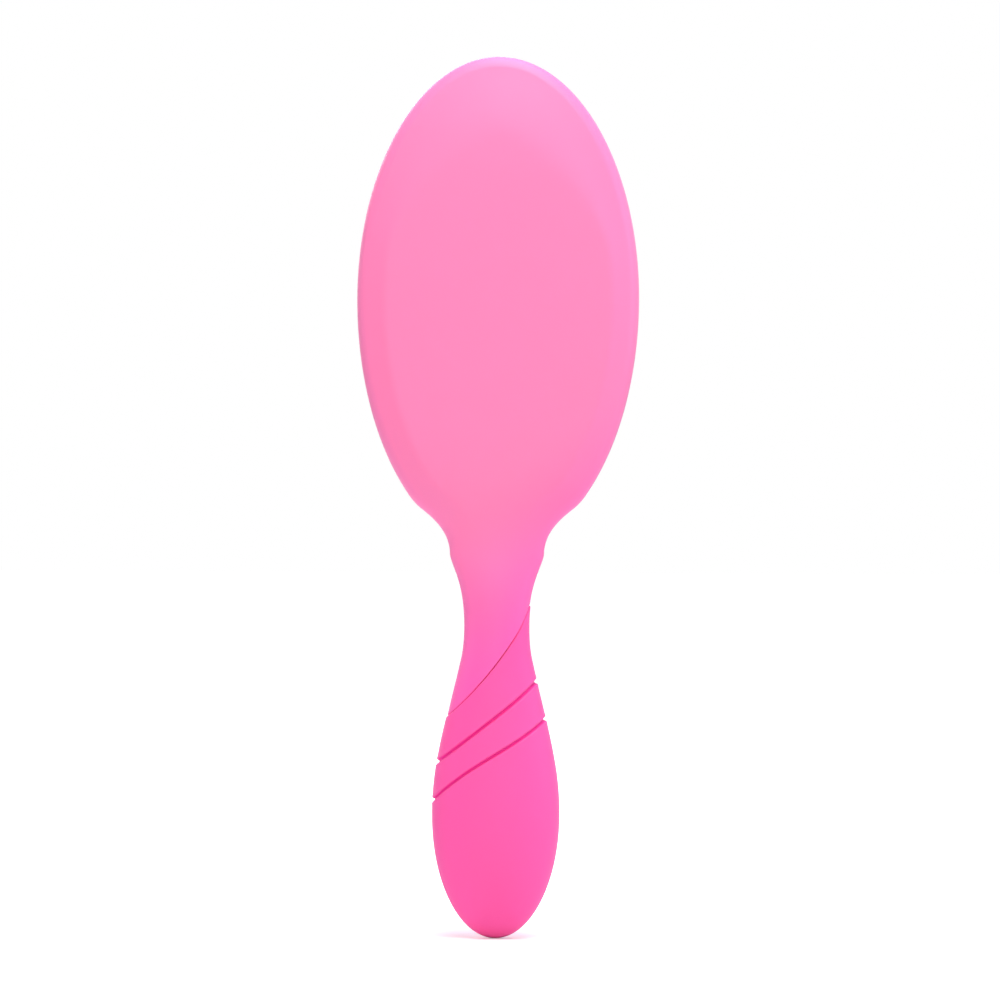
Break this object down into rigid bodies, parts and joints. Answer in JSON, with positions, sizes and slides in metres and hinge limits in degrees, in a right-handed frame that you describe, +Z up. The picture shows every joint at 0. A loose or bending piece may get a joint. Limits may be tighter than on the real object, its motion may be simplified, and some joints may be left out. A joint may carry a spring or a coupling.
{
  "type": "detangling brush",
  "caption": "Oval-headed hand brush for detangling hair: rounded pink shell, sprung rubber cushion with flexible ball-tipped bristles, and a soft grip with slanted grooves",
  "frame": {"origin": "on the handle's axis at the grip's widest section, which is where the hand holds it", "axes": "+Z up the handle towards the head, +Y the bristle side, +X to the right seen from the back"},
  "size_m": [0.071, 0.0373, 0.222],
  "materials": {
    "shell_plastic": "moulded ABS with a soft satin coat",
    "grip_rubber": "soft matte TPE moulded over the core",
    "cushion_rubber": "matte natural rubber membrane",
    "bristle_nylon": "drawn nylon",
    "tip_resin": "dipped resin beads"
  },
  "bodies": {
    "handle": {"body_shell": "shell_plastic", "front_frame": "shell_plastic", "grip": "grip_rubber"},
    "cushion": {"cushion": "cushion_rubber"},
    "column_01": {"bristles_01": "bristle_nylon", "tips_01": "tip_resin"},
    "column_02": {"bristles_02": "bristle_nylon", "tips_02": "tip_resin"},
    "column_03": {"bristles_03": "bristle_nylon", "tips_03": "tip_resin"},
    "column_04": {"bristles_04": "bristle_nylon", "tips_04": "tip_resin"},
    "column_05": {"bristles_05": "bristle_nylon", "tips_05": "tip_resin"},
    "column_06": {"bristles_06": "bristle_nylon", "tips_06": "tip_resin"},
    "column_07": {"bristles_07": "bristle_nylon", "tips_07": "tip_resin"},
    "column_08": {"bristles_08": "bristle_nylon", "tips_08": "tip_resin"},
    "column_09": {"bristles_09": "bristle_nylon", "tips_09": "tip_resin"},
    "column_10": {"bristles_10": "bristle_nylon", "tips_10": "tip_resin"},
    "column_11": {"bristles_11": "bristle_nylon", "tips_11": "tip_resin"}
  },
  "joints": [
    {"name": "cushion_press", "type": "slide", "parent": "handle", "child": "cushion", "axis": [0, -1, 0], "range_m": [0, 0.0025], "stiffness_N_per_m": 3000, "deforming": ["cushion"]},
    {"name": "lean_01", "type": "hinge", "parent": "cushion", "child": "column_01", "pos_m": [-0.025, 0.00615, 0.1288], "axis": [0, 0, 1], "range_deg": [-12, 12], "stiffness_Nm_per_rad": 0.05},
    {"name": "lean_02", "type": "hinge", "parent": "cushion", "child": "column_02", "pos_m": [-0.02, 0.00675, 0.1288], "axis": [0, 0, 1], "range_deg": [-12, 12], "stiffness_Nm_per_rad": 0.05},
    {"name": "lean_03", "type": "hinge", "parent": "cushion", "child": "column_03", "pos_m": [-0.015, 0.00707, 0.1288], "axis": [0, 0, 1], "range_deg": [-12, 12], "stiffness_Nm_per_rad": 0.05},
    {"name": "lean_04", "type": "hinge", "parent": "cushion", "child": "column_04", "pos_m": [-0.01, 0.00699, 0.1288], "axis": [0, 0, 1], "range_deg": [-12, 12], "stiffness_Nm_per_rad": 0.05},
    {"name": "lean_05", "type": "hinge", "parent": "cushion", "child": "column_05", "pos_m": [-0.005, 0.00711, 0.1288], "axis": [0, 0, 1], "range_deg": [-12, 12], "stiffness_Nm_per_rad": 0.05},
    {"name": "lean_06", "type": "hinge", "parent": "cushion", "child": "column_06", "pos_m": [0, 0.00758, 0.1288], "axis": [0, 0, 1], "range_deg": [-12, 12], "stiffness_Nm_per_rad": 0.05},
    {"name": "lean_07", "type": "hinge", "parent": "cushion", "child": "column_07", "pos_m": [0.005, 0.00711, 0.1288], "axis": [0, 0, 1], "range_deg": [-12, 12], "stiffness_Nm_per_rad": 0.05},
    {"name": "lean_08", "type": "hinge", "parent": "cushion", "child": "column_08", "pos_m": [0.01, 0.00699, 0.1288], "axis": [0, 0, 1], "range_deg": [-12, 12], "stiffness_Nm_per_rad": 0.05},
    {"name": "lean_09", "type": "hinge", "parent": "cushion", "child": "column_09", "pos_m": [0.015, 0.00707, 0.1288], "axis": [0, 0, 1], "range_deg": [-12, 12], "stiffness_Nm_per_rad": 0.05},
    {"name": "lean_10", "type": "hinge", "parent": "cushion", "child": "column_10", "pos_m": [0.02, 0.00675, 0.1288], "axis": [0, 0, 1], "range_deg": [-12, 12], "stiffness_Nm_per_rad": 0.05},
    {"name": "lean_11", "type": "hinge", "parent": "cushion", "child": "column_11", "pos_m": [0.025, 0.00615, 0.1288], "axis": [0, 0, 1], "range_deg": [-12, 12], "stiffness_Nm_per_rad": 0.05}
  ]
}
